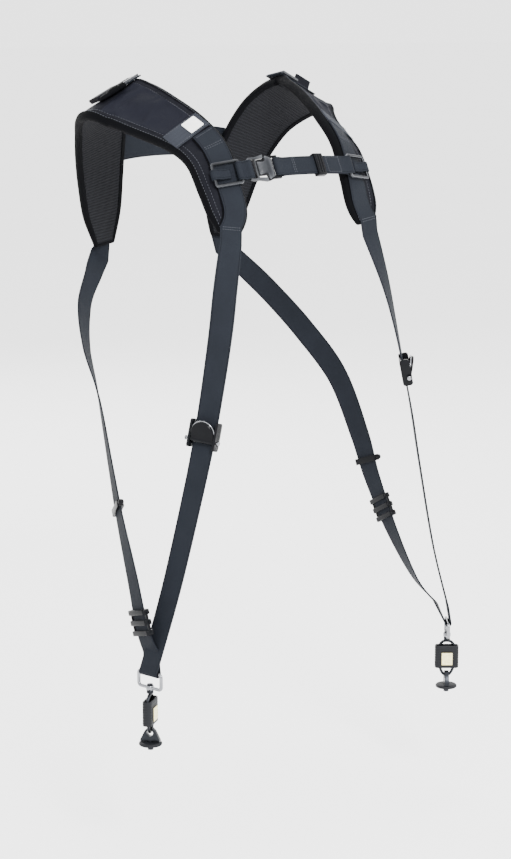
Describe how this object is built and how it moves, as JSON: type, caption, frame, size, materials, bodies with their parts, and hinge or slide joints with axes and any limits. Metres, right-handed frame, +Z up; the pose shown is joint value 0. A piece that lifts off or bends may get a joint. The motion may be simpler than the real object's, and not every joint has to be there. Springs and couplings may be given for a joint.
{
  "type": "dual camera harness",
  "caption": "Worn dual camera harness: padded shoulder pads with a sternum buckle and a back strap, and a webbing loop down each hip ending in a swivel hook with a camera fastener.",
  "frame": {"origin": "midway between the two points where the pads' undersides rest on the top of the shoulders", "axes": "+Z up, the wearer looks along -Y, and +X is to the wearer's left"},
  "size_m": [0.4246, 0.3056, 0.6919],
  "materials": {
    "pad_fabric": "ballistic nylon weave with a bound edge",
    "webbing": "woven nylon webbing",
    "band_webbing": "grey woven band",
    "patch": "bare white patch",
    "black_plastic": "moulded acetal",
    "rubber": "moulded rubber",
    "label": "bare pale label",
    "chrome": "polished",
    "dark_metal": "black oxide, satin"
  },
  "bodies": {
    "harness": {"shoulder_pad_r": "pad_fabric", "shoulder_pad_l": "pad_fabric", "pad_band_r": "band_webbing", "pad_band_l": "band_webbing", "patch_blank": "patch", "crest_strap_r": "webbing", "crest_strap_l": "webbing", "crest_slide_r": "black_plastic", "crest_slide_l": "black_plastic", "crest_tab_r": "webbing", "crest_tab_l": "webbing", "hip_loop_r": "webbing", "hip_loop_l": "webbing", "rear_strap_r": "webbing", "rear_strap_l": "webbing", "back_strap": "webbing", "cam_base_r": "black_plastic", "cam_base_l": "black_plastic", "cam_pin_r": "chrome", "cam_pin_l": "chrome", "rear_bumper_r": "black_plastic", "rear_bumper_l": "black_plastic", "adjuster_r": "black_plastic", "adjuster_l": "black_plastic", "ring_r": "chrome", "ring_l": "chrome", "sternum_frame_r": "black_plastic", "sternum_frame_l": "black_plastic", "frame_keeper_r": "webbing", "frame_keeper_l": "webbing", "sternum_loop": "webbing", "sternum_strap": "webbing", "buckle_pronged": "black_plastic", "buckle_socket": "black_plastic", "sternum_slide": "black_plastic"},
    "lever_r": {"cam_lever_r": "black_plastic"},
    "lever_l": {"cam_lever_l": "black_plastic"},
    "swivel_r": {"hook_r": "dark_metal", "hook_cover_r": "rubber", "label_front_r": "label", "label_rear_r": "label", "fastener_loop_r": "dark_metal", "fastener_disc_r": "rubber"},
    "swivel_l": {"hook_l": "dark_metal", "hook_cover_l": "rubber", "label_front_l": "label", "label_rear_l": "label", "fastener_loop_l": "dark_metal", "fastener_disc_l": "rubber"}
  },
  "joints": [
    {"name": "cam_hinge_r", "type": "hinge", "parent": "harness", "child": "lever_r", "pos_m": [-0.14143, -0.18533, -0.33083], "axis": [0.4622, -0.8803, -0.1067], "range_deg": [0, 60]},
    {"name": "cam_hinge_l", "type": "hinge", "parent": "harness", "child": "lever_l", "pos_m": [0.13004, -0.18485, -0.28884], "axis": [0.6072, 0.7882, 0.1002], "range_deg": [0, 60]},
    {"name": "hook_swivel_r", "type": "hinge", "parent": "harness", "child": "swivel_r", "pos_m": [-0.2, -0.17444, -0.5829], "axis": [0, 0, 1], "continuous": true},
    {"name": "hook_swivel_l", "type": "hinge", "parent": "harness", "child": "swivel_l", "pos_m": [0.2, -0.17444, -0.5949], "axis": [0, 0, 1], "continuous": true}
  ]
}
